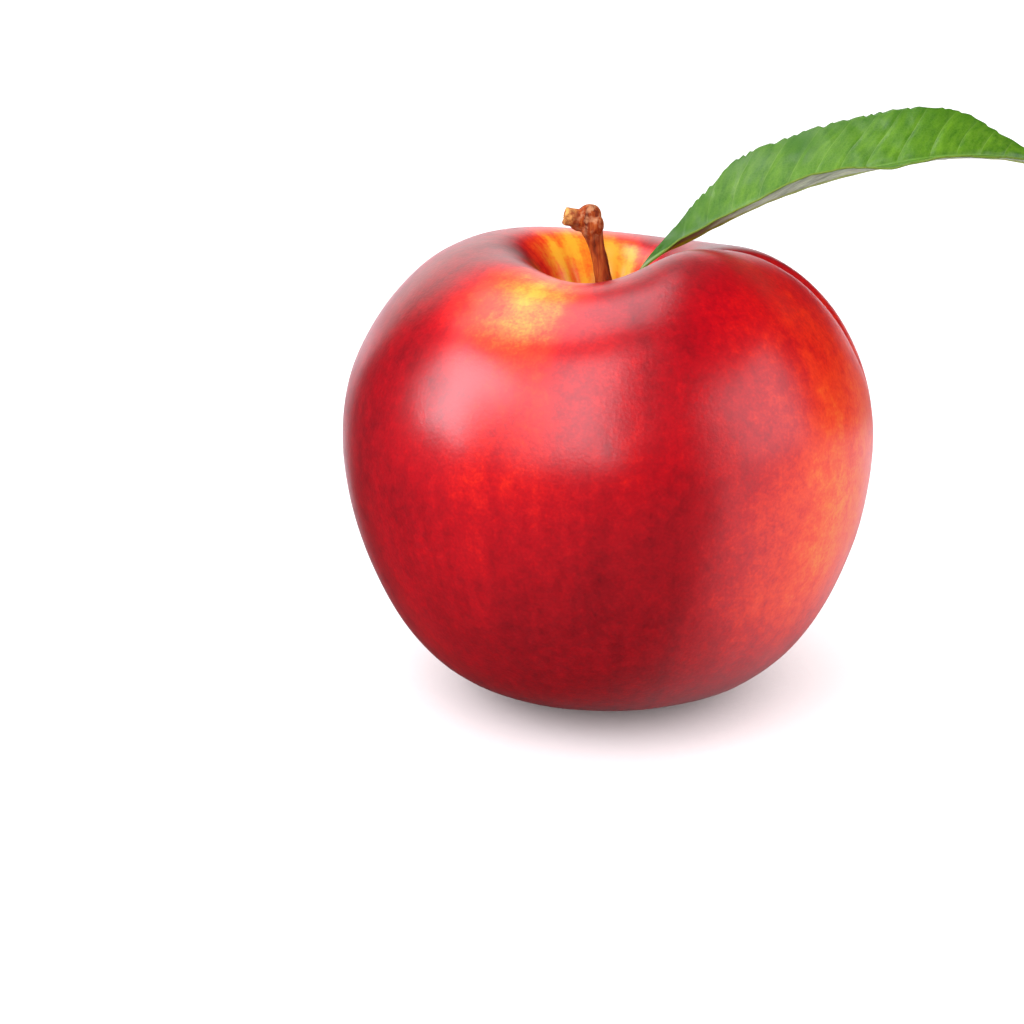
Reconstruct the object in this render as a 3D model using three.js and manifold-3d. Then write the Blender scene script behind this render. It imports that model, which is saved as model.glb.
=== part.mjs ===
// A nectarine as picked: the whole fruit, the woody stalk that stands in its stem cavity, and one leaf
// tucked in beside the stalk. Millimetres, +Z up. The origin is the middle of the small flat spot that
// the fruit rests on, the stem cavity is on top, and the leaf reaches out along +X.

import * as THREE from 'three';
import Module from 'manifold-3d';
import { mergeVertices } from 'three/addons/utils/BufferGeometryUtils.js';

const { degToRad, smoothstep, lerp } = THREE.MathUtils;

// ---------------------------------------------------------------- driving dimensions

// Fruit, measured along its own axis from the blossom end (height 0) to the shoulders.
const FRUIT_RADIUS = 34.5; // at the cheeks, where it is widest
const CHEEK_HEIGHT = 34.5; // of the widest level
const CHEEK_BEND = 27; // radius of the section's curve at the cheeks
const SHOULDER_HEIGHT = 58.7; // of the ring of shoulders round the stem cavity
const SHOULDER_RADIUS = 15.2;
const CAVITY_DEPTH = 12; // from the shoulders down to the cavity's floor
const SEAT_RADIUS = 3.8; // of the level floor that the stalk stands on
const BASE_RADIUS = 8.7; // of the level ring round the blossom end
const BLOSSOM_DIMPLE = 0.9; // its depth
const DEPTH_TO_WIDTH = 0.935; // the fruit is a little narrower from front to back
const CROWN_HEIGHT = 48; // above this level the shoulders rise and fall round the cavity
const HEEL_RISE = 1.6; // the underside is rounder at the back, where the fruit leans
const HEEL_REACH = 16; // depth over which it rises

// The suture, the seam of the single carpel, runs down one side from the cavity to the blossom end.
const SUTURE_AZIMUTH = degToRad(-3); // from +X towards +Y
const SUTURE_WIDTH = 2.3;
const SUTURE_DEPTH = 2.3; // at the shoulder, where it is deepest
const SUTURE_DEPTH_LOW = 0.35; // below the cheeks
const SUTURE_LIPS = 0.15; // how far the flesh swells up on both sides of it

// A broad hollow between the two front cheeks, which lowers the rim of the cavity there.
const HOLLOW_AZIMUTH = degToRad(-103);
const HOLLOW_SPREAD = degToRad(30);
const HOLLOW_DEPTH = 1.8;

// The front shoulder swells up beside the leaf and makes the cavity steeper there.
const LOBE_CENTRE = new THREE.Vector2(8.5, -9.5);
const LOBE_SPREAD = 5.5;
const LOBE_HEIGHT = 1.1;

// Pose: the fruit leans back on a flat spot beside its blossom end.
const LEAN = degToRad(11.5);
const FLAT_PRESS = 0.45; // how far the lowest skin is pressed flat

// Clearance between the cavity's floor and what stands on it.
const SEAT_GAP = 0.3;

// Stalk: a short woody twig, snapped off at a knob where a side shoot and a bud stood.
const STALK_RADIUS = 1.12; // halfway up
const STALK_LENGTH = 15.2; // from its foot to the middle of the knob
const STALK_SWAY = 3; // how far its top leans aside
const STALK_SIDES = 14;
const KNOB_RADIUS = 1.7;
const SHOOT_RADIUS = 1.25; // of the snapped-off side shoot
const SHOOT_LENGTH = 3.1;
const SHOOT_TILT = degToRad(62); // from upright

// Leaf: a short petiole and a lance-shaped blade folded along its midrib.
const PETIOLE_RADIUS = 0.65;
const PETIOLE_SHARE = 0.14; // of the whole leaf's length
const BLADE_THICKNESS = 0.5;
const MARGIN_THICKNESS = 0.3;
const MIDRIB_KEEL = 0.45; // how far the midrib stands out below the blade at its base
const MIDRIB_WIDTH = 0.8;
const BLADE_FOLD = degToRad(25); // how far each half rises from flat
const BLADE_ROLL = degToRad(23); // the back half is the higher one
const BLADE_CUP = 0.006; // extra rise towards the margins, per mm of width squared

// ---------------------------------------------------------------- fruit

const FLOOR_HEIGHT = SHOULDER_HEIGHT - CAVITY_DEPTH;
const HEART = new THREE.Vector3(0, 0, CHEEK_HEIGHT); // grooves are pressed in towards this point

// Half of the fruit's section, as radius and height, from the blossom end up over the cheek and the
// shoulder, and down into the cavity. The two curves that meet at the cheek bend alike there.
function fruitSection() {
  const below = 0.315 * CHEEK_HEIGHT;
  const above = 0.565 * (SHOULDER_HEIGHT - CHEEK_HEIGHT);
  const baseReach = FRUIT_RADIUS - (1.5 * below ** 2) / CHEEK_BEND;
  const crownReach = FRUIT_RADIUS - (1.5 * above ** 2) / CHEEK_BEND;
  const rimReach = 0.45 * SHOULDER_RADIUS;
  const wallReach = 0.36 * SHOULDER_RADIUS;
  const section = new THREE.Path();
  section.moveTo(0, BLOSSOM_DIMPLE);
  section.bezierCurveTo(0.3 * BASE_RADIUS, BLOSSOM_DIMPLE, 0.4 * BASE_RADIUS, 0, BASE_RADIUS, 0);
  section.bezierCurveTo(baseReach, 0, FRUIT_RADIUS, CHEEK_HEIGHT - below, FRUIT_RADIUS, CHEEK_HEIGHT);
  section.bezierCurveTo(
    FRUIT_RADIUS,
    CHEEK_HEIGHT + above,
    crownReach,
    SHOULDER_HEIGHT,
    SHOULDER_RADIUS,
    SHOULDER_HEIGHT,
  );
  section.bezierCurveTo(rimReach, SHOULDER_HEIGHT, wallReach, FLOOR_HEIGHT, SEAT_RADIUS, FLOOR_HEIGHT);
  section.lineTo(0, FLOOR_HEIGHT);
  return section.getSpacedPoints(46);
}

// Nothing on the axis, all at the shoulders.
function awayFromAxis(point) {
  return smoothstep(Math.hypot(point.x, point.y), 0, 0.8 * SHOULDER_RADIUS);
}

// How far the crown rises or sinks at a point.
function crownRise(point, azimuth) {
  const sway = 0.3 * Math.cos(azimuth - degToRad(145));
  const saddle = 0.8 * Math.cos(2 * (azimuth - degToRad(148)));
  const fromLobe = Math.hypot(point.x - LOBE_CENTRE.x, point.y - LOBE_CENTRE.y) / LOBE_SPREAD;
  const lobe = LOBE_HEIGHT * Math.exp(-(fromLobe ** 2));
  const high = smoothstep(point.z, CROWN_HEIGHT, SHOULDER_HEIGHT);
  return high * ((sway + saddle) * awayFromAxis(point) + lobe);
}

// How far the underside rises at a point.
function heelRise(point) {
  const low = 1 - smoothstep(point.z, 0, CHEEK_HEIGHT);
  return HEEL_RISE * smoothstep(point.y, 0, HEEL_REACH) * low;
}

// How far the suture presses in at a point.
function sutureDepth(point, azimuth) {
  const radius = Math.hypot(point.x, point.y);
  const aside = radius * Math.sin(azimuth - SUTURE_AZIMUTH);
  const along = radius * Math.cos(azimuth - SUTURE_AZIMUTH);
  const high = smoothstep(point.z, 0.8 * CHEEK_HEIGHT, SHOULDER_HEIGHT);
  const depth = lerp(SUTURE_DEPTH_LOW, SUTURE_DEPTH, high);
  const groove = depth * Math.exp(-((aside / SUTURE_WIDTH) ** 2));
  const lips = SUTURE_LIPS * high * Math.exp(-((aside / (3.2 * SUTURE_WIDTH)) ** 2));
  return (groove - lips) * smoothstep(along, 0, 0.6 * SHOULDER_RADIUS);
}

// How far the broad front hollow presses in at a point.
function hollowDepth(point, azimuth) {
  const difference = azimuth - HOLLOW_AZIMUTH;
  const turn = Math.atan2(Math.sin(difference), Math.cos(difference));
  const high = smoothstep(point.z, 0.65 * CHEEK_HEIGHT, SHOULDER_HEIGHT);
  return HOLLOW_DEPTH * Math.exp(-((turn / HOLLOW_SPREAD) ** 2)) * high * awayFromAxis(point);
}

// The section turned round the axis, with its columns of faces crowded together along the suture, and
// then shaped by the crown, the heel, the suture and the hollow.
function fruitGeometry() {
  const geometry = new THREE.LatheGeometry(fruitSection(), 76);
  geometry.rotateX(Math.PI / 2);
  const position = geometry.getAttribute('position');
  const point = new THREE.Vector3();
  const inwards = new THREE.Vector3();
  for (let i = 0; i < position.count; i++) {
    point.fromBufferAttribute(position, i);
    const radius = Math.hypot(point.x, point.y);
    const turn = Math.atan2(point.y, point.x);
    const azimuth = SUTURE_AZIMUTH + turn - 0.55 * Math.sin(turn);
    point.x = radius * Math.cos(azimuth);
    point.y = radius * Math.sin(azimuth);
    const pressed = sutureDepth(point, azimuth) + hollowDepth(point, azimuth);
    inwards.subVectors(HEART, point).normalize();
    point.z += crownRise(point, azimuth) + heelRise(point);
    point.addScaledVector(inwards, pressed);
    point.y *= DEPTH_TO_WIDTH;
    position.setXYZ(i, point.x, point.y, point.z);
  }
  return geometry;
}

// Presses the lowest skin flat and returns the middle of the flat spot.
function pressFlat(geometry, upwards) {
  const position = geometry.getAttribute('position');
  const point = new THREE.Vector3();
  const lowest = new THREE.Vector3().fromBufferAttribute(position, 0);
  for (let i = 1; i < position.count; i++) {
    point.fromBufferAttribute(position, i);
    if (point.dot(upwards) < lowest.dot(upwards)) {
      lowest.copy(point);
    }
  }
  lowest.addScaledVector(upwards, FLAT_PRESS);
  const table = new THREE.Plane().setFromNormalAndCoplanarPoint(upwards, lowest);
  const spot = new THREE.Box3();
  for (let i = 0; i < position.count; i++) {
    point.fromBufferAttribute(position, i);
    if (table.distanceToPoint(point) < 0) {
      table.projectPoint(point, point);
      position.setXYZ(i, point.x, point.y, point.z);
      spot.expandByPoint(point);
    }
  }
  return spot.getCenter(new THREE.Vector3());
}

// ---------------------------------------------------------------- stalk

const SEAT_HEIGHT = FLOOR_HEIGHT + SEAT_GAP;

// The twig stands on z = 0. It flares at its foot, thickens towards the knob and bends aside.
function twigGeometry() {
  const twig = new THREE.CylinderGeometry(STALK_RADIUS, STALK_RADIUS, STALK_LENGTH, STALK_SIDES, 12);
  twig.rotateX(Math.PI / 2).translate(0, 0, STALK_LENGTH / 2);
  const position = twig.getAttribute('position');
  for (let i = 0; i < position.count; i++) {
    const share = position.getZ(i) / STALK_LENGTH;
    const girth = 1 + 0.35 * (1 - share) ** 6 + 0.22 * smoothstep(share, 0.65, 1);
    const bend = STALK_SWAY * (0.25 * share + 0.75 * share ** 2.2);
    position.setX(i, girth * position.getX(i) - bend);
    position.setY(i, girth * position.getY(i));
  }
  return twig;
}

// The bud's bump on top of the twig.
function knobGeometry() {
  const knob = new THREE.SphereGeometry(KNOB_RADIUS, STALK_SIDES, 10);
  knob.scale(0.95, 0.9, 0.95);
  knob.translate(0.5 - STALK_SWAY, 0, STALK_LENGTH + 0.1);
  return knob;
}

// The stub of the side shoot, with a flat broken end.
function shootGeometry() {
  const shoot = new THREE.CylinderGeometry(SHOOT_RADIUS, 1.1 * SHOOT_RADIUS, SHOOT_LENGTH, STALK_SIDES, 2);
  shoot.translate(0, SHOOT_LENGTH / 2, 0).rotateX(Math.PI / 2).rotateY(-SHOOT_TILT);
  shoot.translate(0.1 - STALK_SWAY, -0.1, STALK_LENGTH - 0.6);
  return shoot;
}

const wasm = await Module();
wasm.setup();

function solid(geometry) {
  geometry.deleteAttribute('normal').deleteAttribute('uv');
  const merged = mergeVertices(geometry, 1e-4);
  const mesh = new wasm.Mesh({
    numProp: 3,
    vertProperties: new Float32Array(merged.getAttribute('position').array),
    triVerts: new Uint32Array(merged.getIndex().array),
  });
  return new wasm.Manifold(mesh);
}

function stalkGeometry() {
  const stalk = solid(twigGeometry()).add(solid(knobGeometry())).add(solid(shootGeometry()));
  const mesh = stalk.getMesh();
  const geometry = new THREE.BufferGeometry();
  geometry.setAttribute('position', new THREE.BufferAttribute(mesh.vertProperties, 3));
  geometry.setIndex(new THREE.BufferAttribute(mesh.triVerts, 1));
  return geometry;
}

// ---------------------------------------------------------------- leaf

// The midrib from the petiole's foot, up out of the cavity, and over to the tip.
const midrib = new THREE.CatmullRomCurve3([
  new THREE.Vector3(2.3, 1.5, SEAT_HEIGHT),
  new THREE.Vector3(2.6, 1.5, 51.8),
  new THREE.Vector3(4.6, 1.7, 55.9),
  new THREE.Vector3(11.6, 2.2, 60.4),
  new THREE.Vector3(21.8, 2.6, 65.3),
  new THREE.Vector3(32, 3, 68.3),
  new THREE.Vector3(42.2, 3.8, 69.8),
  new THREE.Vector3(50.1, 5.5, 69.6),
  new THREE.Vector3(56.9, 8, 68.1),
]);

// Half of the blade's width in millimetres against the share of its length.
const bladeOutline = new THREE.SplineCurve([
  new THREE.Vector2(0, 0.65),
  new THREE.Vector2(0.1, 2.4),
  new THREE.Vector2(0.22, 5.4),
  new THREE.Vector2(0.4, 6.8),
  new THREE.Vector2(0.6, 7.8),
  new THREE.Vector2(0.75, 7.1),
  new THREE.Vector2(0.88, 3.9),
  new THREE.Vector2(0.96, 1.3),
  new THREE.Vector2(1, 0.2),
]);
const outlinePoints = bladeOutline.getPoints(80);

// Half width at a share of the whole leaf's length.
function leafHalfWidth(share) {
  const wanted = (share - PETIOLE_SHARE) / (1 - PETIOLE_SHARE);
  if (wanted <= 0) {
    return PETIOLE_RADIUS;
  }
  const next = outlinePoints.findIndex((point) => point.x >= wanted);
  if (next < 1) {
    return outlinePoints.at(-1).y;
  }
  const before = outlinePoints[next - 1];
  const after = outlinePoints[next];
  return lerp(before.y, after.y, (wanted - before.x) / (after.x - before.x));
}

// A thin box laid along the midrib: x runs from foot to tip, y from the front margin to the back one.
// It is a round rod along the petiole and opens into the folded blade.
function leafGeometry() {
  const geometry = new THREE.BoxGeometry(1, 2, 2, 52, 14, 1);
  const position = geometry.getAttribute('position');
  const centre = new THREE.Vector3();
  const along = new THREE.Vector3();
  const across = new THREE.Vector3();
  const over = new THREE.Vector3();
  const up = new THREE.Vector3(0, 0, 1);
  for (let i = 0; i < position.count; i++) {
    const share = position.getX(i) + 0.5;
    const side = position.getY(i);
    const face = position.getZ(i);
    midrib.getPointAt(share, centre);
    midrib.getTangentAt(share, along);
    const open = smoothstep(share, 0.8 * PETIOLE_SHARE, 1.8 * PETIOLE_SHARE);
    across.crossVectors(up, along).normalize().applyAxisAngle(along, open * BLADE_ROLL);
    over.crossVectors(along, across);
    const out = side * leafHalfWidth(share);
    const roundness = Math.sqrt(1 - side ** 2);
    const rod = 0.2 + 2 * PETIOLE_RADIUS * roundness;
    const sheet = lerp(MARGIN_THICKNESS, BLADE_THICKNESS, roundness);
    const thickness = lerp(rod, sheet, open);
    const ridge = MIDRIB_KEEL * (1 - share) * Math.exp(-((out / MIDRIB_WIDTH) ** 2));
    const keel = face < 0 ? open * ridge : 0;
    const fold = (Math.hypot(out, 0.4) - 0.4) * Math.sin(BLADE_FOLD);
    const rise = open * (fold + BLADE_CUP * out ** 2);
    centre.addScaledVector(across, out * lerp(1, Math.cos(BLADE_FOLD), open));
    centre.addScaledVector(over, rise + (face * thickness) / 2 - keel);
    position.setXYZ(i, centre.x, centre.y, centre.z);
  }
  return geometry;
}

// ---------------------------------------------------------------- assembly

const waxySkin = new THREE.MeshStandardMaterial({ color: 0xb5121f, roughness: 0.35, metalness: 0 });
const bark = new THREE.MeshStandardMaterial({ color: 0x7a3b22, roughness: 0.8, metalness: 0 });
const greenBlade = new THREE.MeshStandardMaterial({ color: 0x4f9a35, roughness: 0.45, metalness: 0 });

const leanBack = new THREE.Quaternion().setFromAxisAngle(new THREE.Vector3(1, 0, 0), -LEAN);
const upwards = new THREE.Vector3(0, 0, 1).applyQuaternion(leanBack.clone().invert());
const skin = fruitGeometry();
const restSpot = pressFlat(skin, upwards);

const fruit = new THREE.Mesh(skin, waxySkin);
fruit.name = 'fruit';

const stalk = new THREE.Mesh(stalkGeometry(), bark);
stalk.name = 'stalk';
stalk.position.set(0.35, 0, SEAT_HEIGHT);

const leaf = new THREE.Mesh(leafGeometry(), greenBlade);
leaf.name = 'leaf';

const nectarine = new THREE.Group();
nectarine.add(fruit, stalk, leaf);
nectarine.quaternion.copy(leanBack);
nectarine.position.copy(restSpot).applyQuaternion(leanBack).negate();

export default nectarine;
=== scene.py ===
import math

import bpy
from mathutils import Matrix, Vector, noise


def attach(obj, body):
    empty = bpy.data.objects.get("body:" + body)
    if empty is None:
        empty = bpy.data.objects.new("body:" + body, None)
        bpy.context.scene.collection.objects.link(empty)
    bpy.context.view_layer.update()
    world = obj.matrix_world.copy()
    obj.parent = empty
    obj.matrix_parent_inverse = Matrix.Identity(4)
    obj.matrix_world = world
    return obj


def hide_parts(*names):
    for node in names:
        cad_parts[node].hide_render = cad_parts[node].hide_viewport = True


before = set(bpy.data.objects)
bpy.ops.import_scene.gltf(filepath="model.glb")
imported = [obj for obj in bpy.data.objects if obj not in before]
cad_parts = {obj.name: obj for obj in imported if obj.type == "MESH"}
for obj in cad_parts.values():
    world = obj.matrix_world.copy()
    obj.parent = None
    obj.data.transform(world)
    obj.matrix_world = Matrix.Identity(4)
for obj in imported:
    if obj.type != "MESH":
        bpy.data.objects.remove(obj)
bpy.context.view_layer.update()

# ---------------------------------------------------------------- fruit
# The whole grown fruit: a thin waxy skin, deep red where the sun reached it and yellow-orange in the
# stem cavity, over firm flesh. It is one piece and rests on a small flat spot beside its blossom end.

FRUIT_LEAN = math.radians(11.5)
BLOSSOM_END = Vector((0, -0.0082, 0.0003))  # where the fruit's own axis leaves it below
FRUIT_PLACE = Matrix.Translation(BLOSSOM_END) @ Matrix.Rotation(-FRUIT_LEAN, 4, "X")
SUTURE_AZIMUTH = math.radians(-3)
CHEEK_HEIGHT = 0.0345  # along the fruit's axis, as all heights in this section
CREASE_DEPTH = 0.00028  # of the fine line at the bottom of the suture
CREASE_WIDTH = 0.00045
SKIN_UNEVENNESS = 0.00035  # height of the soft swellings of the flesh
SWELLING_SPACING = 0.012
PUCKER_DEPTH = 0.00022  # of the small folds that run down into the stem cavity
PUCKERS = 15
SCAR_RADIUS = 0.0011  # of the dry point that the blossom left
SCAR_DEPTH = 0.0003
MEAN_PIGMENT = 0.785  # from 0, the yellow ground colour, to 1, the darkest red


def deselect_all():
    bpy.ops.object.select_all(action="DESELECT")


def apply_modifier(piece, kind, **settings):
    """Puts a modifier on a piece and applies it at once."""
    deselect_all()
    piece.select_set(True)
    bpy.context.view_layer.objects.active = piece
    modifier = piece.modifiers.new(kind.lower(), kind)
    for name, value in settings.items():
        setattr(modifier, name, value)
    bpy.ops.object.modifier_apply(modifier=modifier.name)


def smooth_step(value, low, high):
    share = min(max((value - low) / (high - low), 0), 1)
    return share * share * (3 - 2 * share)


fruit = bpy.data.objects.new("ripe_fruit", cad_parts["fruit"].data.copy())
bpy.context.scene.collection.objects.link(fruit)
deselect_all()
fruit.select_set(True)
bpy.context.view_layer.objects.active = fruit
bpy.ops.mesh.customdata_custom_splitnormals_clear()
bpy.ops.object.mode_set(mode="EDIT")
bpy.ops.mesh.select_all(action="SELECT")
bpy.ops.mesh.remove_doubles(threshold=1e-6)
bpy.ops.mesh.tris_convert_to_quads()
bpy.ops.object.mode_set(mode="OBJECT")
apply_modifier(fruit, "SUBSURF", levels=2, render_levels=2)

swellings = bpy.data.textures.new("skin_swellings", "CLOUDS")
swellings.noise_scale = SWELLING_SPACING
swellings.noise_depth = 1
swellings.noise_basis = "IMPROVED_PERLIN"
apply_modifier(
    fruit, "DISPLACE", texture=swellings, texture_coords="LOCAL", mid_level=1, strength=SKIN_UNEVENNESS
)

# The suture's fine line, the folds in the cavity and the blossom's scar are pressed in along the
# skin's normals, measured in the fruit's own upright frame.
to_fruit = FRUIT_PLACE.inverted()
suture_way = Vector((math.cos(SUTURE_AZIMUTH), math.sin(SUTURE_AZIMUTH)))
pressed = []
for vertex in fruit.data.vertices:
    place = to_fruit @ vertex.co
    flat = place.to_2d()
    radius = flat.length
    aside = flat.x * suture_way.y - flat.y * suture_way.x
    along = flat.dot(suture_way)
    high = smooth_step(place.z, 0.002, 1.6 * CHEEK_HEIGHT)
    crease = CREASE_DEPTH * (0.35 + 0.65 * high) * math.exp(-((aside / CREASE_WIDTH) ** 2))
    crease *= smooth_step(along, 0.004, 0.012)
    turn = PUCKERS * math.atan2(place.y, place.x)
    wander = 2.5 * noise.noise(place * 120)
    in_cavity = smooth_step(place.z, 0.045, 0.049) * (1 - smooth_step(radius, 0.006, 0.0125))
    pucker = PUCKER_DEPTH * in_cavity * (0.5 + 0.5 * math.cos(turn + wander))
    pucker *= smooth_step(radius, 0.0015, 0.004)
    scar = SCAR_DEPTH * math.exp(-((radius / SCAR_RADIUS) ** 2)) if place.z < 0.01 else 0
    pressed.append(vertex.co - vertex.normal * (crease + pucker + scar))
for vertex, place in zip(fruit.data.vertices, pressed):
    vertex.co = place
bpy.ops.object.shade_smooth()


def srgb(code):
    """A colour from its sRGB hex code, as linear red, green, blue and alpha."""
    parts = [int(code[i : i + 2], 16) / 255 for i in (1, 3, 5)]
    return [p / 12.92 if p <= 0.04045 else ((p + 0.055) / 1.055) ** 2.4 for p in parts] + [1]


def add_node(tree, kind, links=None, **settings):
    """Adds a node, sets it up, and links or sets its inputs, which are given by name or number."""
    node = tree.nodes.new(kind)
    for name, value in settings.items():
        setattr(node, name, value)
    for name, value in (links or {}).items():
        if isinstance(value, bpy.types.NodeSocket):
            tree.links.new(value, node.inputs[name])
        else:
            node.inputs[name].default_value = value
    return node


def colour_result(mix):
    """The colour output of a Mix node, which has one output for each kind of data."""
    return next(output for output in mix.outputs if output.type == "RGBA" and output.enabled)


def soft_patch(tree, place, centre, reach, core=0):
    """1 within the core of a centre, given in millimetres, fading to 0 at its reach."""
    away = add_node(
        tree, "ShaderNodeVectorMath", {0: place, 1: [c / 1000 for c in centre]}, operation="DISTANCE"
    )
    fade = {"Value": away.outputs["Value"], "From Min": core / 1000, "From Max": reach / 1000}
    fade |= {"To Min": 1, "To Max": 0}
    return add_node(tree, "ShaderNodeMapRange", fade, interpolation_type="SMOOTHSTEP").outputs[0]


def upright_place(tree):
    """The place on the surface in the fruit's own upright frame."""
    at = add_node(tree, "ShaderNodeTexCoord").outputs["Object"]
    turn = {"Vector": at, "Location": BLOSSOM_END, "Rotation": (-FRUIT_LEAN, 0, 0)}
    return add_node(tree, "ShaderNodeMapping", turn, vector_type="TEXTURE").outputs[0]


def new_material(name):
    material = bpy.data.materials.new(name)
    material.use_nodes = True
    material.node_tree.nodes.clear()
    return material


def waxy_skin():
    """Ripe nectarine skin: hairless and waxed, so it shines softly. Red pigment lies over yellow
    ground colour in fine streaks that run from the stalk to the blossom end, with pale dots."""
    material = new_material("ripe_nectarine_skin")
    tree = material.node_tree
    place = upright_place(tree)
    across = add_node(tree, "ShaderNodeVectorMath", {0: place, 1: (1, 1, 0)}, operation="MULTIPLY").outputs[0]
    radius = add_node(tree, "ShaderNodeVectorMath", {0: across}, operation="LENGTH").outputs["Value"]
    around = add_node(tree, "ShaderNodeVectorMath", {0: across}, operation="NORMALIZE").outputs[0]
    around = add_node(tree, "ShaderNodeSeparateXYZ", {0: around})
    height = add_node(tree, "ShaderNodeSeparateXYZ", {0: place}).outputs["Z"]

    # Streaks about 2 mm wide at the cheeks and 12 mm long, which meet in the stem cavity, and broad
    # ones three times that size. Clouds of 9 mm, flecks of 1.5 mm and grains of 0.4 mm lie over them.
    down = add_node(tree, "ShaderNodeMath", {0: height, 1: radius}, operation="SUBTRACT").outputs[0]
    down = add_node(tree, "ShaderNodeMath", {0: down, 1: 5}, operation="MULTIPLY").outputs[0]
    streak_place = add_node(
        tree, "ShaderNodeCombineXYZ", {0: around.outputs[0], 1: around.outputs[1], 2: down}
    ).outputs[0]
    streaks = add_node(
        tree, "ShaderNodeTexNoise", {"Vector": streak_place, "Scale": 16, "Detail": 4, "Roughness": 0.6}
    ).outputs["Fac"]
    broad = add_node(
        tree, "ShaderNodeTexNoise", {"Vector": streak_place, "Scale": 5.5, "Detail": 3, "Roughness": 0.55}
    ).outputs["Fac"]
    clouds = add_node(tree, "ShaderNodeTexNoise", {"Vector": place, "Scale": 110, "Detail": 2}).outputs["Fac"]
    flecks = add_node(
        tree, "ShaderNodeTexNoise", {"Vector": place, "Scale": 700, "Detail": 2, "Roughness": 0.65}
    ).outputs["Fac"]
    grains = add_node(
        tree, "ShaderNodeTexNoise", {"Vector": place, "Scale": 2600, "Detail": 2}
    ).outputs["Fac"]

    # Places with less or more red pigment, whose edges wander by a millimetre or two.
    wander = add_node(
        tree, "ShaderNodeTexNoise", {"Vector": place, "Scale": 130, "Detail": 2}
    ).outputs["Color"]
    wander = add_node(
        tree, "ShaderNodeVectorMath", {0: wander, 1: (0.5, 0.5, 0.5)}, operation="SUBTRACT"
    ).outputs[0]
    wander = add_node(tree, "ShaderNodeVectorMath", {0: wander, "Scale": 0.006}, operation="SCALE").outputs[0]
    loose = add_node(tree, "ShaderNodeVectorMath", {0: place, 1: wander}, operation="ADD").outputs[0]
    # The centre, reach and core of each, in millimetres, and how much more pigment it has.
    pigment_places = (
        ((-3, 8, 56), 11, 3, -0.62),  # back wall of the stem cavity
        ((2.2, 8.5, 55.5), 6, 1, -0.22),  # the same wall, behind the stalk
        ((-6, 8.5, 58), 5, 1, -0.16),  # and where it rises to the left: partly its own yellow, partly painted light
        ((-10, 5.5, 58.7), 6, 1, -0.16),  # its left side, by the rim: partly its own yellow, partly painted light
        ((-7.8, 4, 56.2), 3.5, 0, 0.05),  # below that
        ((0, 0, 50), 10, 3, -0.55),  # floor of the stem cavity
        ((-12.8, -17.3, 54.3), 13.5, 3, -0.52),  # rim of the cavity, front left
        ((-7.5, -13.5, 56.6), 8.5, 1, -0.33),  # the same rim, by the cavity
        ((-9.5, -24, 49), 14, 1, -0.14),  # below that rim
        ((-18, -3, 57), 18, 0, 0.07),  # left shoulder
        ((2, -20, 55), 14, 0, 0.05),  # front lobe of the rim
        ((8, -11, 59), 9, 0, 0.15),  # top of that lobe
        ((-32, -10, 42), 40, 0, 0.18),  # left cheek
        ((-14, -27, 36), 22, 0, -0.2),  # front left
        ((-8, -32, 16), 26, 0, 0.08),  # below the front
        ((33, -12, 38), 34, 0, -0.44),  # right cheek, by the suture
        ((28, -20, 19), 24, 0, -0.36),  # below the right cheek
        ((-6, 30, 30), 26, 3, -0.4),  # shaded back
        ((0, 0, 0), 14, 2, -0.3),  # round the blossom end
    )

    # Each pattern with its strength and its own mean, which is taken off again.
    in_cavity = soft_patch(tree, place, (0, 2, 57), 19, 9)
    broad = add_node(tree, "ShaderNodeMath", {0: broad, 1: 0.5}, operation="SUBTRACT").outputs[0]
    cavity_streaks = add_node(
        tree, "ShaderNodeMath", {0: broad, 1: in_cavity}, operation="MULTIPLY"
    ).outputs[0]
    patterns = (
        (streaks, 0.16, 0.5),
        (broad, 0.28, 0),
        (cavity_streaks, 0.45, 0),
        (clouds, 0.2, 0.5),
        (flecks, 0.34, 0.5),
        (grains, 0.26, 0.5),
    )
    pigment = MEAN_PIGMENT - sum(strength * mean for _, strength, mean in patterns)
    for centre, reach, core, share in pigment_places:
        patch = soft_patch(tree, loose, centre, reach, core)
        pigment = add_node(
            tree, "ShaderNodeMath", {0: patch, 1: share, 2: pigment}, operation="MULTIPLY_ADD"
        ).outputs[0]
    for pattern, strength, _ in patterns:
        pigment = add_node(
            tree, "ShaderNodeMath", {0: pattern, 1: strength, 2: pigment}, operation="MULTIPLY_ADD"
        ).outputs[0]
    ramp = add_node(tree, "ShaderNodeValToRGB", {"Fac": pigment})
    stops = (
        (0.0, "#F2AC2A"),
        (0.12, "#F28A20"),
        (0.24, "#F1651C"),
        (0.36, "#EE3F12"),
        (0.48, "#DF270D"),
        (0.6, "#C60A0E"),
        (0.72, "#AE000F"),
        (0.86, "#95000E"),
        (1.0, "#79000C"),
    )
    elements = ramp.color_ramp.elements
    for position, code in stops[1:-1]:
        elements.new(position)
    for element, (position, code) in zip(elements, stops):
        element.position = position
        element.color = srgb(code)

    # Pale breathing pores, about 0.25 mm wide and 0.6 mm apart.
    pores = add_node(tree, "ShaderNodeTexVoronoi", {"Vector": place, "Scale": 1700}).outputs["Distance"]
    pores = add_node(
        tree,
        "ShaderNodeMapRange",
        {"Value": pores, "From Min": 0.1, "From Max": 0.3, "To Min": 0.045, "To Max": 0},
    ).outputs[0]
    dotted = add_node(
        tree,
        "ShaderNodeMix",
        {"Factor": pores, "A": ramp.outputs["Color"], "B": srgb("#D03A22")},
        data_type="RGBA",
    )

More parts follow.
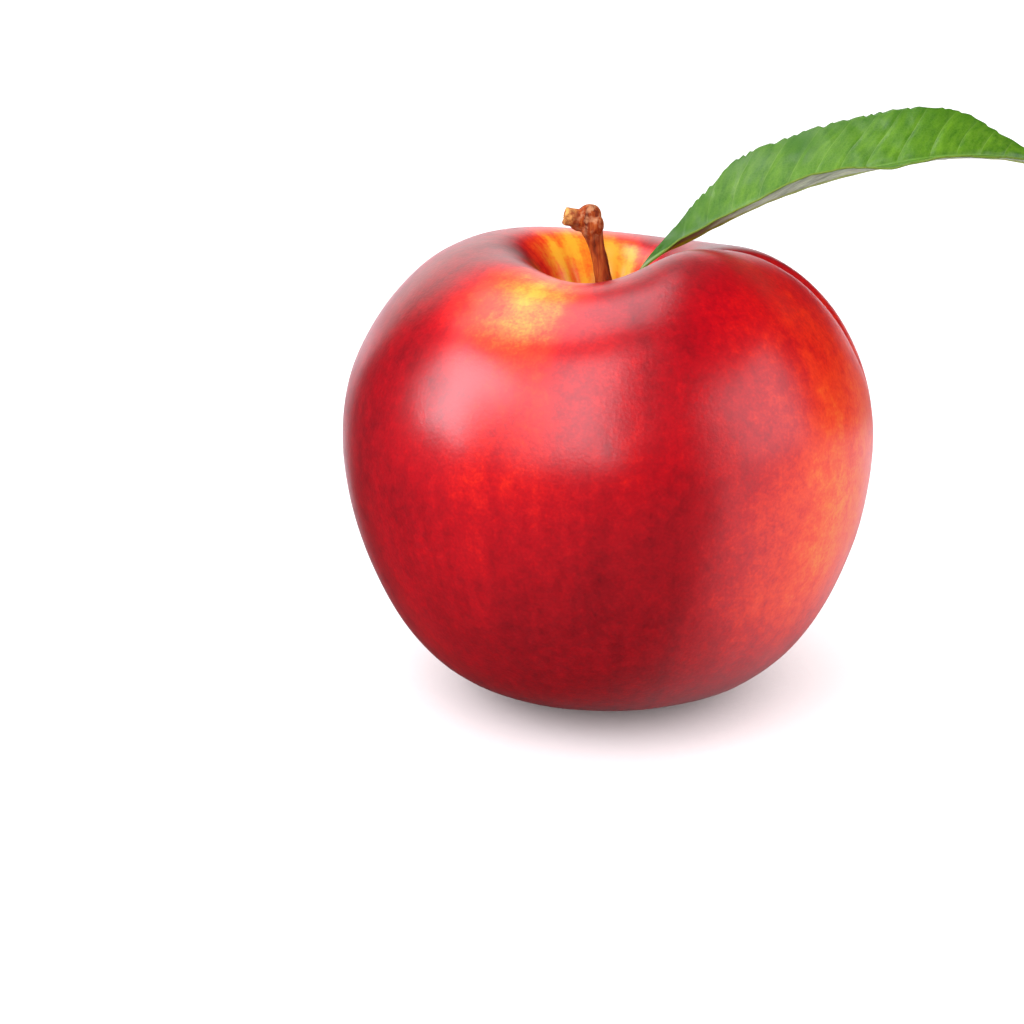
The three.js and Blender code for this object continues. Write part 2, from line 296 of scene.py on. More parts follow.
    # The skin's cells make it very finely uneven, and its shine a little soft.
    cells = add_node(
        tree, "ShaderNodeTexNoise", {"Vector": place, "Scale": 2400, "Detail": 3}
    ).outputs["Fac"]
    dents = add_node(
        tree, "ShaderNodeBump", {"Height": cells, "Strength": 0.1, "Distance": 0.0002}
    ).outputs[0]
    shader = add_node(
        tree,
        "ShaderNodeBsdfPrincipled",
        {
            "Base Color": colour_result(dotted),
            "Roughness": 0.28,
            "IOR": 1.5,
            "Specular IOR Level": 0.5,
            "Subsurface Weight": 0.12,
            "Subsurface Radius": (1.0, 0.25, 0.12),
            "Subsurface Scale": 0.002,
            "Normal": dents,
        },
    )
    add_node(tree, "ShaderNodeOutputMaterial", {"Surface": shader.outputs[0]})
    return material


fruit.data.materials.clear()
fruit.data.materials.append(waxy_skin())
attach(fruit, "root")
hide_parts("fruit")

# ---------------------------------------------------------------- stalk
# The woody twig that the fruit grew on. It stands on the floor of the stem cavity, flares at its
# foot, and ends in a knob with a bud and the torn stub of a side shoot.

SEAT_HEIGHT = 0.047  # where the stalk and the leaf's petiole stand, along the fruit's axis
STALK_ASIDE = 0.00005
STALK_LENGTH = 0.0152  # to the middle of the knob
STALK_RADIUS = 0.00112
STALK_SWAY = 0.0027  # how far its top leans to the left
STALK_SIDES = 20
# Girth of the twig from its foot to its knob, as shares of STALK_RADIUS.
GIRTHS = (1.5, 1.4, 1.3, 1.22, 1.16, 1.12, 1.08, 1.04, 1.0, 0.96, 0.95, 1.0, 1.12, 1.28, 1.22)
SHOOT_RADIUS = 0.0012
SHOOT_LENGTH = 0.0036
SHOOT_TILT = math.radians(80)
SHOOT_FOOT = Vector((-0.0026, -0.0001, SEAT_HEIGHT + STALK_LENGTH - 0.0001))
SHOOT_WAY = Vector((-math.sin(SHOOT_TILT), 0, math.cos(SHOOT_TILT)))
BREAK_RIM = 0.00035  # width of the bark round the shoot's hollow broken end
BREAK_DEPTH = 0.0004
BARK_VOXEL = 0.00012
RIDGE_HEIGHT = 0.00008
LUMP_HEIGHT = 0.00009
BARK_SINK = 0.00004  # keeps the raised bark within the twig's girth
SHRED_LENGTH = 0.0003  # of the torn wood


def stalk_bend(share):
    return STALK_ASIDE - STALK_SWAY * (0.25 * share + 0.75 * share**2.2)


def apply_place(piece):
    """Writes a piece's place into its mesh and leaves its object at the origin."""
    deselect_all()
    piece.select_set(True)
    bpy.context.view_layer.objects.active = piece
    bpy.ops.object.transform_apply(location=True, rotation=True, scale=True)


# The shaft is drawn up in short lengths from a ring, each wider or narrower than the one below it.
deselect_all()
bpy.ops.mesh.primitive_circle_add(
    vertices=STALK_SIDES,
    radius=GIRTHS[0] * STALK_RADIUS,
    fill_type="NGON",
    location=(stalk_bend(0), 0, SEAT_HEIGHT),
)
stalk = bpy.context.object
stalk.name = "woody_stalk"
bpy.ops.object.mode_set(mode="EDIT")
bpy.ops.mesh.select_all(action="SELECT")
steps = len(GIRTHS) - 1
for step in range(steps):
    share, next_share = step / steps, (step + 1) / steps
    move = (stalk_bend(next_share) - stalk_bend(share), 0, STALK_LENGTH / steps)
    bpy.ops.mesh.extrude_region_move(TRANSFORM_OT_translate={"value": move})
    middle = (stalk_bend(next_share), 0, SEAT_HEIGHT + next_share * STALK_LENGTH)
    growth = GIRTHS[step + 1] / GIRTHS[step]
    bpy.ops.transform.resize(value=(growth, growth, 1), center_override=middle)
bpy.ops.mesh.select_all(action="SELECT")
bpy.ops.mesh.normals_make_consistent(inside=False)
bpy.ops.object.mode_set(mode="OBJECT")

# The bud on top, a leaf scar on its right, the swollen neck below them and the side shoot's collar:
# the middle and the half width, depth and height of each.
knob_height = SEAT_HEIGHT + STALK_LENGTH
bumps = (
    ((-0.0025, 0, knob_height + 0.0006), (0.0016, 0.0014, 0.0014)),
    ((-0.0015, -0.0007, knob_height - 0.0006), (0.00085, 0.0009, 0.0013)),
    ((-0.0023, -0.0001, knob_height - 0.0013), (0.0013, 0.0012, 0.0014)),
    ((-0.0037, 0.0002, knob_height - 0.0003), (0.0015, 0.0012, 0.0013)),
)
lumps = []
for middle, size in bumps:
    deselect_all()
    bpy.ops.mesh.primitive_uv_sphere_add(segments=18, ring_count=12, radius=1, location=middle, scale=size)
    lumps.append(bpy.context.object)

# The stub of the side shoot, with its broken end hollowed.
deselect_all()
bpy.ops.mesh.primitive_cylinder_add(vertices=STALK_SIDES, radius=SHOOT_RADIUS, depth=SHOOT_LENGTH)
shoot = bpy.context.object
for face in shoot.data.polygons:
    face.select = face.normal.z > 0.9
bpy.ops.object.mode_set(mode="EDIT")
bpy.ops.mesh.inset(thickness=BREAK_RIM)
bpy.ops.transform.translate(value=(0, 0, -BREAK_DEPTH))
bpy.ops.object.mode_set(mode="OBJECT")
shoot.location = SHOOT_FOOT + SHOOT_WAY * SHOOT_LENGTH / 2
shoot.rotation_euler = SHOOT_WAY.to_track_quat("Z", "Y").to_euler()

# All of them grow together under one bark.
deselect_all()
for lump in (*lumps, shoot, stalk):
    lump.select_set(True)
bpy.context.view_layer.objects.active = stalk
bpy.ops.object.join()
apply_place(stalk)
apply_modifier(stalk, "REMESH", mode="VOXEL", voxel_size=BARK_VOXEL)
apply_modifier(stalk, "SMOOTH", factor=0.5, iterations=6)

# The bark has shallow ridges along the twig and lumps across it. The torn end is rougher.
shoot_end = SHOOT_FOOT + SHOOT_WAY * SHOOT_LENGTH
for vertex in stalk.data.vertices:
    place = vertex.co
    share = min(max((place.z - SEAT_HEIGHT) / STALK_LENGTH, 0), 1)
    out = (place - Vector((stalk_bend(share), 0, place.z))).normalized()
    ridges = noise.noise(Vector((place.x * 2400, place.y * 2400, place.z * 160)))
    lumpy = noise.noise(place * 900)
    torn = 1 - smooth_step((place - shoot_end).length, 0.0006, 0.0018)
    shreds = noise.noise(place * 2600)
    raised = RIDGE_HEIGHT * ridges + LUMP_HEIGHT * lumpy - BARK_SINK
    vertex.co = place + out * raised + SHOOT_WAY * SHRED_LENGTH * torn * shreds
stalk.matrix_world = FRUIT_PLACE
apply_place(stalk)
bpy.ops.object.shade_smooth()


def twig_bark():
    """Thin reddish-brown bark, dry and matt, with darker lengthwise cracks. It is worn paler on the
    knob, and the wood shows pale where the side shoot broke off."""
    material = new_material("fruit_twig_bark")
    tree = material.node_tree
    place = upright_place(tree)
    stretched = add_node(
        tree, "ShaderNodeVectorMath", {0: place, 1: (1, 1, 0.1)}, operation="MULTIPLY"
    ).outputs[0]
    fibres = add_node(
        tree, "ShaderNodeTexNoise", {"Vector": stretched, "Scale": 1500, "Detail": 4, "Roughness": 0.65}
    ).outputs["Fac"]
    bark = add_node(tree, "ShaderNodeValToRGB", {"Fac": fibres})
    elements = bark.color_ramp.elements
    elements.new(0.5)
    browns = ((0.34, "#501A0A"), (0.5, "#92380C"), (0.66, "#B86024"))
    for element, (position, code) in zip(elements, browns):
        element.position = position
        element.color = srgb(code)
    worn = add_node(tree, "ShaderNodeTexNoise", {"Vector": place, "Scale": 900, "Detail": 3}).outputs["Fac"]
    worn = add_node(
        tree, "ShaderNodeMapRange", {"Value": worn, "From Min": 0.48, "From Max": 0.62}
    ).outputs[0]
    on_knob = soft_patch(tree, place, (-2.3, -0.3, 62.6), 3.4, 1.2)
    worn = add_node(tree, "ShaderNodeMath", {0: worn, 1: on_knob}, operation="MULTIPLY").outputs[0]
    bark = add_node(
        tree,
        "ShaderNodeMix",
        {"Factor": worn, "A": bark.outputs[0], "B": srgb("#BE8258")},
        data_type="RGBA",
    )
    torn = soft_patch(tree, place, [c * 1000 for c in shoot_end - SHOOT_WAY * BREAK_DEPTH], 2.1, 1.1)
    blotches = add_node(
        tree, "ShaderNodeTexNoise", {"Vector": place, "Scale": 1500, "Detail": 3}
    ).outputs["Fac"]
    wood = add_node(tree, "ShaderNodeValToRGB", {"Fac": blotches})
    for element, position, code in zip(wood.color_ramp.elements, (0.36, 0.58), ("#8A4420", "#E2A65A")):
        element.position = position
        element.color = srgb(code)
    mixed = add_node(
        tree,
        "ShaderNodeMix",
        {"Factor": torn, "A": colour_result(bark), "B": wood.outputs[0]},
        data_type="RGBA",
    )
    cracks = add_node(
        tree, "ShaderNodeBump", {"Height": fibres, "Strength": 0.5, "Distance": 0.00015}
    ).outputs[0]
    shader = add_node(
        tree,
        "ShaderNodeBsdfPrincipled",
        {"Base Color": colour_result(mixed), "Roughness": 0.75, "IOR": 1.3, "Normal": cracks},
    )
    add_node(tree, "ShaderNodeOutputMaterial", {"Surface": shader.outputs[0]})
    return material


stalk.data.materials.clear()
stalk.data.materials.append(twig_bark())
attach(stalk, "root")
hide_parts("stalk")

# ---------------------------------------------------------------- leaf
# One lance-shaped leaf on a short petiole that grows beside the stalk. The thin blade is folded
# along its midrib, arches over, and has fine forward-pointing teeth along both margins.

# The midrib in the fruit's upright frame, in millimetres, from the petiole's foot to the tip.
MIDRIB = (
    (2.3, 1.5, 47.0),
    (2.6, 1.5, 51.8),
    (4.6, 1.7, 55.9),
    (11.6, 2.2, 60.2),
    (21.8, 2.6, 65),
    (32, 3, 68.1),
    (42.2, 3.8, 69.8),
    (50.1, 5.5, 69.6),
    (56.9, 8, 68.1),
)
# Half of the blade's width in millimetres against the share of its length.
HALF_WIDTHS = (
    (0, 0.65),
    (0.1, 2.4),
    (0.22, 5.5),
    (0.4, 7.6),
    (0.6, 7.8),
    (0.75, 7.1),
    (0.88, 3.9),
    (0.96, 1.3),
    (1, 0.2),
)
PETIOLE_SHARE = 0.14
PETIOLE_RADIUS = 0.62
BLADE_THICKNESS = 0.26
BLADE_FOLD = math.radians(25)
BLADE_ROLL = math.radians(23)
BLADE_CUP = 0.006
# How many degrees further up the near half of the blade is folded, against the share of its length.
NEAR_FOLDS = ((0, 30), (0.2, 28), (0.28, 12), (0.36, 12), (0.47, 15), (0.56, 12), (0.67, 3), (1, 2))
TOOTH_SPACING = 1.6
TOOTH_DEPTH = 0.36
VEIN_SPACING = 3.7
VEIN_GROOVE = 0.07  # depth of the furrow over each side vein
VEIN_GROOVE_REACH = 0.3
RIB_GROOVE = 0.45  # and over the midrib
RIB_GROOVE_REACH = 0.5
MARGIN_WAVE = 0.45  # height of the long waves along the margins
TISSUE_WAVE = 0.1  # and of the small ones between the veins
LEAF_STEPS = 440
LEAF_ROWS = 60


def smooth_curve(points, steps):
    """Points evenly spaced along a smooth curve through the given ones, and the curve's length."""
    ends = [points[0] * 2 - points[1], *points, points[-1] * 2 - points[-2]]
    dense = []
    for before, start, stop, after in zip(ends, ends[1:], ends[2:], ends[3:]):
        spans = (start - before, stop - start, after - stop)
        first, middle, last = (span.length**0.5 for span in spans)
        leave = (start - before) / first - (stop - before) / (first + middle) + (stop - start) / middle
        arrive = (stop - start) / middle - (after - start) / (middle + last) + (after - stop) / last
        for step in range(40):
            t = step / 40
            dense.append(
                start * (2 * t**3 - 3 * t**2 + 1)
                + leave * middle * (t**3 - 2 * t**2 + t)
                + stop * (3 * t**2 - 2 * t**3)
                + arrive * middle * (t**3 - t**2)
            )
    dense.append(points[-1])
    lengths = [0]
    for one, other in zip(dense, dense[1:]):
        lengths.append(lengths[-1] + (other - one).length)
    spaced, at = [], 0
    for step in range(steps + 1):
        wanted = lengths[-1] * step / steps
        while at < len(dense) - 2 and lengths[at + 1] < wanted:
            at += 1
        share = (wanted - lengths[at]) / (lengths[at + 1] - lengths[at])
        spaced.append(dense[at].lerp(dense[at + 1], min(max(share, 0), 1)))
    return spaced, lengths[-1]


midrib, leaf_length = smooth_curve([Vector(p) for p in MIDRIB], LEAF_STEPS)
outline, _ = smooth_curve([Vector(p) for p in HALF_WIDTHS], 400)


def half_width(share):
    wanted = (share - PETIOLE_SHARE) / (1 - PETIOLE_SHARE)
    if wanted <= 0:
        return PETIOLE_RADIUS
    for one, other in zip(outline, outline[1:]):
        if other.x >= wanted:
            return one.y + (other.y - one.y) * (wanted - one.x) / max(other.x - one.x, 1e-9)
    return outline[-1].y


def near_fold(share):
    for (start, fold), (stop, next_fold) in zip(NEAR_FOLDS, NEAR_FOLDS[1:]):
        if share <= stop:
            return math.radians(fold + (next_fold - fold) * smooth_step(share, start, stop))
    return 0


def tooth(along, side):
    """How far the margin is nicked: teeth lean towards the tip, and no two are quite alike."""
    phase = (along / TOOTH_SPACING + 0.9 * noise.noise(Vector((along * 0.3, side * 7, 0)))) % 1
    deep = max(0.6 + 0.9 * noise.noise(Vector((along * 0.5, side * 3, 5))), 0.1)
    return TOOTH_DEPTH * deep * (1 - phase / 0.8 if phase < 0.8 else (phase - 0.8) / 0.2)


def vein_turn(along, out):
    """Counts the side veins along the blade: it is whole and a half on each of them. They leave the
    midrib slanting towards the tip and bend forward."""
    reach = abs(out)
    start = along - 0.62 * reach - 0.035 * reach**2
    start += 1.4 * noise.noise(Vector((along * 0.09, out * 0.12, 3)))
    return start / VEIN_SPACING + (0.5 if out > 0 else 0)


deselect_all()
bpy.ops.mesh.primitive_grid_add(x_subdivisions=LEAF_STEPS, y_subdivisions=LEAF_ROWS, size=1)
leaf = bpy.context.object
leaf.name = "leaf_blade"
laid = []
for vertex in leaf.data.vertices:
    step = round((vertex.co.x + 0.5) * LEAF_STEPS)
    side = 2 * vertex.co.y
    share = step / LEAF_STEPS
    along = share * leaf_length
    ahead = (midrib[min(step + 1, LEAF_STEPS)] - midrib[max(step - 1, 0)]).normalized()
    opening = smooth_step(share, 0.8 * PETIOLE_SHARE, 1.8 * PETIOLE_SHARE)
    across = Matrix.Rotation(opening * BLADE_ROLL, 3, ahead) @ Vector((0, 0, 1)).cross(ahead).normalized()
    over = ahead.cross(across)
    width = half_width(share)
    nicked = min(tooth(along, math.copysign(1, side)) * smooth_step(share, 0.2, 0.3), 0.5 * width)
    out = side * (width - nicked * smooth_step(abs(side), 0.7, 1))
    fold = BLADE_FOLD
    if out < 0:
        fold += near_fold(share)
    rise = (math.hypot(out, 0.4) - 0.4) * math.sin(fold) + BLADE_CUP * out**2
    away = abs(vein_turn(along, out) % 1 - 0.5) * VEIN_SPACING
    on_vein = math.exp(-((away / VEIN_GROOVE_REACH) ** 2)) * smooth_step(abs(out), 0.1, 0.8)
    rise -= RIB_GROOVE * math.exp(-((out / RIB_GROOVE_REACH) ** 2)) * opening
    rise -= VEIN_GROOVE * on_vein * (1 - smooth_step(abs(side), 0.75, 1))
    rise += MARGIN_WAVE * smooth_step(abs(side), 0.4, 1) * noise.noise(Vector((along * 0.13, side, 1)))
    rise += TISSUE_WAVE * noise.noise(Vector((along * 0.5, out * 0.5, 7)))
    spread = out * (1 + opening * (math.cos(fold) - 1))
    laid.append((along, out, side, midrib[step] + across * spread + over * opening * rise))

# One map gives the length along and the reach across in decimetres, the other the side veins.
blade_map = leaf.data.uv_layers[0]
blade_map.name = "blade_map"
vein_map = leaf.data.uv_layers.new(name="vein_map")
for face in leaf.data.polygons:
    middle = sum(laid[corner][1] for corner in face.vertices) / 4
    for loop, corner in zip(face.loop_indices, face.vertices):
        along, out, side, _ = laid[corner]
        blade_map.data[loop].uv = (along / 100, 0.5 + out / 100)
        vein_map.data[loop].uv = (vein_turn(along, math.copysign(max(abs(out), 1e-6), middle)), abs(side))
for vertex, (_, _, _, place) in zip(leaf.data.vertices, laid):
    vertex.co = place / 1000


def leaf_surface(name, dark, light, vein_colour, rib_colour, rib_reach, roughness):
    """Fresh leaf tissue, thin and moist, so it shines a little and its tone wanders along the side
    veins. The midrib and the veins are paler, and painted shade makes it darkest by the petiole and
    the margins."""
    material = new_material(name)
    tree = material.node_tree
    place = upright_place(tree)
    veins = add_node(tree, "ShaderNodeUVMap", uv_map="vein_map").outputs[0]
    tone = add_node(
        tree, "ShaderNodeTexNoise", {"Vector": veins, "Scale": 2.6, "Detail": 6, "Roughness": 0.65}
    ).outputs["Fac"]
    greens = add_node(tree, "ShaderNodeValToRGB", {"Fac": tone})
    for element, position, code in zip(greens.color_ramp.elements, (0.32, 0.68), (dark, light)):
        element.position = position
        element.color = srgb(code)

    # Side veins, which are whole and a half on the map, the midrib, and a net of about 0.4 mm.
    veins = add_node(tree, "ShaderNodeSeparateXYZ", {0: veins})
    turn = add_node(tree, "ShaderNodeMath", {0: veins.outputs[0]}, operation="FRACT").outputs[0]
    turn = add_node(tree, "ShaderNodeMath", {0: turn, 1: 0.5}, operation="SUBTRACT").outputs[0]
    turn = add_node(tree, "ShaderNodeMath", {0: turn}, operation="ABSOLUTE").outputs[0]
    side_veins = add_node(
        tree,
        "ShaderNodeMapRange",
        {"Value": turn, "From Min": 0.008, "From Max": 0.035, "To Min": 0.22, "To Max": 0},
    ).outputs[0]
    blade = add_node(tree, "ShaderNodeUVMap", uv_map="blade_map").outputs[0]
    blade = add_node(tree, "ShaderNodeSeparateXYZ", {0: blade})
    reach = add_node(tree, "ShaderNodeMath", {0: blade.outputs[1], 1: 0.5}, operation="SUBTRACT").outputs[0]
    reach = add_node(tree, "ShaderNodeMath", {0: reach}, operation="ABSOLUTE").outputs[0]
    rib = add_node(
        tree,
        "ShaderNodeMapRange",
        {"Value": reach, "From Min": 0.6 * rib_reach, "From Max": rib_reach, "To Min": 1, "To Max": 0},
    ).outputs[0]
    net = add_node(
        tree, "ShaderNodeTexVoronoi", {"Vector": place, "Scale": 2300}, feature="DISTANCE_TO_EDGE"
    ).outputs["Distance"]
    net = add_node(
        tree,
        "ShaderNodeMapRange",
        {"Value": net, "From Min": 0.02, "From Max": 0.15, "To Min": 0.08, "To Max": 0},
    ).outputs[0]
    paler = add_node(tree, "ShaderNodeMath", {0: side_veins, 1: net}, operation="MAXIMUM").outputs[0]
    veined = add_node(
        tree,
        "ShaderNodeMix",
        {"Factor": paler, "A": greens.outputs[0], "B": srgb(vein_colour)},
        data_type="RGBA",
    )

    # Painted shade: it darkens towards the margins and the petiole, and in one blotch by the back margin.
    margin_painted_shade = add_node(
        tree,
        "ShaderNodeMapRange",
        {"Value": veins.outputs[1], "From Min": 0.6, "From Max": 1, "To Min": 0, "To Max": 0.5},
    ).outputs[0]
    petiole_painted_shade = add_node(
        tree,
        "ShaderNodeMapRange",
        {"Value": blade.outputs[0], "From Min": 0.13, "From Max": 0.24, "To Min": 1, "To Max": 0},
    ).outputs[0]
    blotch = soft_patch(tree, place, (24.5, 7, 71.5), 4.5, 0.5)
    darker = add_node(tree, "ShaderNodeMath", {0: blotch, 1: 0.75}, operation="MULTIPLY").outputs[0]
    for amount in (margin_painted_shade, petiole_painted_shade):
        darker = add_node(tree, "ShaderNodeMath", {0: darker, 1: amount}, operation="MAXIMUM").outputs[0]
    tissue = add_node(
        tree,
        "ShaderNodeMix",
        {"Factor": darker, "A": colour_result(veined), "B": srgb(dark)},
        data_type="RGBA",
    )
    colour = add_node(
        tree,
        "ShaderNodeMix",
        {"Factor": rib, "A": colour_result(tissue), "B": srgb(rib_colour)},
        data_type="RGBA",
    )
    relief = add_node(
        tree, "ShaderNodeBump", {"Height": paler, "Strength": 0.4, "Distance": 0.0001}, invert=True
    )
    shader = add_node(
        tree,
        "ShaderNodeBsdfPrincipled",
        {
            "Base Color": colour_result(colour),
            "Roughness": roughness,
            "IOR": 1.42,
            "Subsurface Weight": 0.1,
            "Subsurface Radius": (0.5, 1.0, 0.2),
            "Subsurface Scale": 0.0004,
            "Normal": relief.outputs[0],
        },
    )
    add_node(tree, "ShaderNodeOutputMaterial", {"Surface": shader.outputs[0]})
    return material


# The upper side is waxy, the underside duller and much paler, partly its own colour and partly a
# painted sheen, and the thin rim yellowish. The numbers are the midrib's half width on the map, in
# decimetres, and the roughness.
surfaces = (
    ("waxy_leaf_upper_side", "#32640A", "#608E1B", "#93B05C", "#6E983C", 0.0045, 0.31),
    ("matt_leaf_underside", "#204C04", "#C0D8A0", "#CCD8B0", "#86A008", 0.011, 0.42),
    ("leaf_margin", "#5C7A14", "#7C9030", "#7C9030", "#7C9030", 0.0045, 0.6),
)
leaf.data.materials.clear()
for surface in surfaces:
    leaf.data.materials.append(leaf_surface(*surface))
apply_modifier(
    leaf,
    "SOLIDIFY",
    thickness=BLADE_THICKNESS / 1000,
    offset=0,
    material_offset=1,
    material_offset_rim=2,
)
leaf.matrix_world = FRUIT_PLACE
apply_place(leaf)
bpy.ops.object.shade_smooth()
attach(leaf, "root")
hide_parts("leaf")

# ---------------------------------------------------------------- floor, light and camera
# A white paper sweep in a studio, lit by large softboxes on the left, in front and overhead, with a
# reflector on the right. The camera looks slightly down through a long lens.

PAPER_SIZE = 2.6
CONTACT_REACH = 0.024  # how near the fruit the painted contact shadow on the paper's glow begins

bpy.context.scene.view_settings.view_transform = "Standard"

deselect_all()
bpy.ops.mesh.primitive_plane_add(size=PAPER_SIZE)
floor = bpy.context.object
floor.name = "floor"
paper = new_material("white_sweep_paper")
tree = paper.node_tree
# Painted shade: the paper that the skin mirrors and that lights the fruit from below is dark grey
# before the fruit and to its left, and off to the sides far behind it, so the skin mirrors pale paper
# on its right side alone. Bounced light finds it less dark. The camera sees plain paper everywhere.
place = add_node(tree, "ShaderNodeTexCoord").outputs["Object"]
to_right = add_node(
    tree, "ShaderNodeVectorMath", {0: place, 1: (1, 0.9, 0)}, operation="DOT_PRODUCT"
).outputs["Value"]
paper_right = add_node(
    tree,
    "ShaderNodeMapRange",
    {"Value": to_right, "From Min": -0.034, "From Max": 0.016},
    interpolation_type="SMOOTHSTEP",
).outputs[0]
backward = add_node(tree, "ShaderNodeSeparateXYZ", {0: place}).outputs["Y"]
paper_near = add_node(
    tree,
    "ShaderNodeMapRange",
    {"Value": backward, "From Min": 0.055, "From Max": 0.115, "To Min": 1, "To Max": 0.25},
    interpolation_type="SMOOTHSTEP",
).outputs[0]
aside = add_node(tree, "ShaderNodeSeparateXYZ", {0: place}).outputs["X"]
aside = add_node(tree, "ShaderNodeMath", {0: aside}, operation="ABSOLUTE").outputs[0]
off_middle = add_node(
    tree, "ShaderNodeMath", {0: backward, 1: -0.8, 2: aside}, operation="MULTIPLY_ADD"
).outputs[0]
paper_behind = add_node(
    tree,
    "ShaderNodeMapRange",
    {"Value": off_middle, "From Min": -0.06, "From Max": 0.03, "To Min": 1, "To Max": 0.25},
    interpolation_type="SMOOTHSTEP",
).outputs[0]
clear_of_painted_shade = add_node(tree, "ShaderNodeMath", {0: paper_near, 1: paper_behind}, operation="MAXIMUM").outputs[0]
clear_of_painted_shade = add_node(tree, "ShaderNodeMath", {0: paper_right, 1: clear_of_painted_shade}, operation="MULTIPLY").outputs[0]
ray = add_node(tree, "ShaderNodeLightPath").outputs
softened = add_node(
    tree, "ShaderNodeMath", {0: ray["Is Diffuse Ray"], 1: 0.45}, operation="MULTIPLY"
).outputs[0]
clear_of_painted_shade = add_node(tree, "ShaderNodeMath", {0: clear_of_painted_shade, 1: softened}, operation="MAXIMUM").outputs[0]
# Dark grey where the paper bears the painted shade, white where it is clear of it.
painted_shade_paper_colour = add_node(
    tree, "ShaderNodeMix", {"Factor": clear_of_painted_shade, "A": srgb("#3F3F3F"), "B": srgb("#F1F1F1")}, data_type="RGBA"
)
unseen_paper = add_node(tree, "ShaderNodeBsdfDiffuse", {"Color": colour_result(painted_shade_paper_colour)})
# The paper glows with the painted, even light of a white room, and a painted contact shadow
# dims the glow only close to the fruit.
openness = add_node(
    tree, "ShaderNodeAmbientOcclusion", {"Distance": CONTACT_REACH}, samples=2
).outputs["AO"]
painted_room_glow = add_node(
    tree,
    "ShaderNodeMapRange",
    {"Value": openness, "From Min": 0.17, "From Max": 0.46, "To Max": 1.05},
    interpolation_type="SMOOTHSTEP",
).outputs[0]
# Painted red bounce light: close to the fruit the paper's glow takes on a little of its red.
painted_red_bounce = add_node(
    tree, "ShaderNodeMix", {"Factor": openness, "A": srgb("#FFDADC"), "B": srgb("#FFFFFF")}, data_type="RGBA"
)
lit = add_node(tree, "ShaderNodeEmission", {"Color": colour_result(painted_red_bounce), "Strength": painted_room_glow})
pale = add_node(tree, "ShaderNodeBsdfDiffuse", {"Color": srgb("#7C7C7C")})
seen_paper = add_node(tree, "ShaderNodeAddShader", {0: pale.outputs[0], 1: lit.outputs[0]})
matte = add_node(
    tree,
    "ShaderNodeMixShader",
    {0: ray["Is Camera Ray"], 1: unseen_paper.outputs[0], 2: seen_paper.outputs[0]},
)
# Seen from below, the paper lets the eye through to the underside of the fruit.
see_through = add_node(tree, "ShaderNodeBsdfTransparent")
backfacing = add_node(tree, "ShaderNodeNewGeometry").outputs["Backfacing"]
shown = add_node(tree, "ShaderNodeMixShader", {0: backfacing, 1: matte.outputs[0], 2: see_through.outputs[0]})
add_node(tree, "ShaderNodeOutputMaterial", {"Surface": shown.outputs[0]})
floor.data.materials.append(paper)

LIGHT_TINT = (1, 0.965, 1.05)  # red, green and blue: faintly magenta


def softbox(name, centre, looks_at, width, height, radiance):
    """A large soft light that the camera doesn't see."""
    data = bpy.data.lights.new(name, "AREA")
    data.shape = "RECTANGLE"
    data.size = width
    data.size_y = height
    data.energy = radiance * math.pi * width * height
    data.color = LIGHT_TINT
    light = bpy.data.objects.new(name, data)
    bpy.context.scene.collection.objects.link(light)
    light.location = centre
    light.rotation_euler = (Vector(centre) - Vector(looks_at)).to_track_quat("Z", "Y").to_euler()
    light.visible_camera = False


softbox("left_softbox", (-0.99, -0.28, 0.68), (0, 0, 0.035), 0.62, 0.9, 8.9)
softbox("front_left_softbox", (-0.75, -0.933, 0.79), (-0.75, 0, 0.035), 0.5, 0.95, 2.6)
softbox("front_softbox", (-0.27, -0.8, 0.927), (-0.27, 0, 0.035), 0.46, 1.35, 5.3)
softbox("overhead_softbox", (-0.235, 0.45, 1.05), (-0.235, 0.45, 0), 0.53, 0.7, 3.9)
softbox("back_left_softbox", (-0.7, 0.42, 1.05), (-0.7, 0.42, 0), 0.4, 0.4, 2.6)
softbox("right_reflector", (0.9, -0.3, 0.4), (0, 0, 0.035), 0.78, 0.78, 2.65)
softbox("front_right_reflector", (0.67, -0.66, 0.4), (0, 0, 0.035), 0.2, 0.7, 1.2)

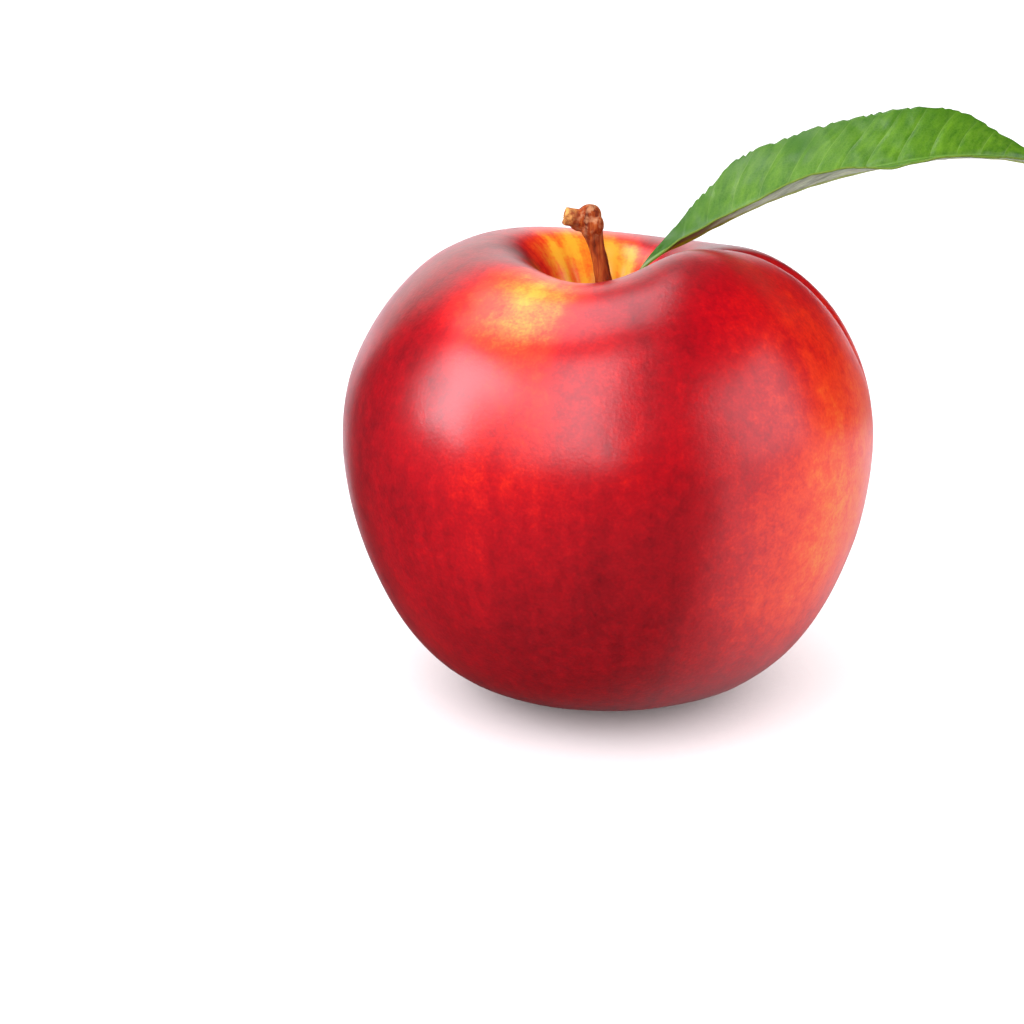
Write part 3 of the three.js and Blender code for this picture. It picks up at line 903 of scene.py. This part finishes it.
# A lit white backdrop behind the fruit, up to a clear upper edge, and dark studio all around. The
# camera sees white behind the sweep.
BACKDROP_RADIANCE = 1.55
STUDIO_RADIANCE = 0.05
world = bpy.data.worlds.new("white_studio")
bpy.context.scene.world = world
world.use_nodes = True
tree = world.node_tree
tree.nodes.clear()
way = add_node(tree, "ShaderNodeTexCoord").outputs["Generated"]
level_way = add_node(tree, "ShaderNodeVectorMath", {0: way, 1: (1, 1, 0)}, operation="MULTIPLY").outputs[0]
level_way = add_node(tree, "ShaderNodeVectorMath", {0: level_way}, operation="NORMALIZE").outputs[0]
towards = add_node(
    tree, "ShaderNodeVectorMath", {0: level_way, 1: (-0.2, 0.98, 0)}, operation="DOT_PRODUCT"
).outputs["Value"]
behind = add_node(
    tree, "ShaderNodeMapRange", {"Value": towards, "From Min": 0.86, "From Max": 0.97}
).outputs[0]
upward = add_node(tree, "ShaderNodeSeparateXYZ", {0: way}).outputs["Z"]
below_edge = add_node(
    tree, "ShaderNodeMapRange", {"Value": upward, "From Min": 0.68, "From Max": 0.48}
).outputs[0]
behind = add_node(tree, "ShaderNodeMath", {0: behind, 1: below_edge}, operation="MULTIPLY").outputs[0]
behind = add_node(
    tree, "ShaderNodeMath", {0: behind, 1: BACKDROP_RADIANCE, 2: STUDIO_RADIANCE}, operation="MULTIPLY_ADD"
).outputs[0]
glow = add_node(tree, "ShaderNodeBackground", {"Color": srgb("#FFFFFF"), "Strength": behind})
backdrop = add_node(tree, "ShaderNodeBackground", {"Color": srgb("#FFFFFF"), "Strength": 1})
seen = add_node(tree, "ShaderNodeLightPath").outputs["Is Camera Ray"]
mixed = add_node(tree, "ShaderNodeMixShader", {0: seen, 1: glow.outputs[0], 2: backdrop.outputs[0]})
add_node(tree, "ShaderNodeOutputWorld", {"Surface": mixed.outputs[0]})

CAMERA_AIM = Vector((-0.0124, 0, 0.0222))
CAMERA_ELEVATION = math.radians(24.5)
CAMERA_DISTANCE = 0.556
camera_data = bpy.data.cameras.new("camera")
camera_data.lens = 150
camera_data.sensor_width = 36
camera_data.clip_start = 0.01
camera = bpy.data.objects.new("camera", camera_data)
bpy.context.scene.collection.objects.link(camera)
back = Vector((0, -math.cos(CAMERA_ELEVATION), math.sin(CAMERA_ELEVATION)))
camera.location = CAMERA_AIM + CAMERA_DISTANCE * back
camera.rotation_euler = back.to_track_quat("Z", "Y").to_euler()
bpy.context.scene.camera = camera
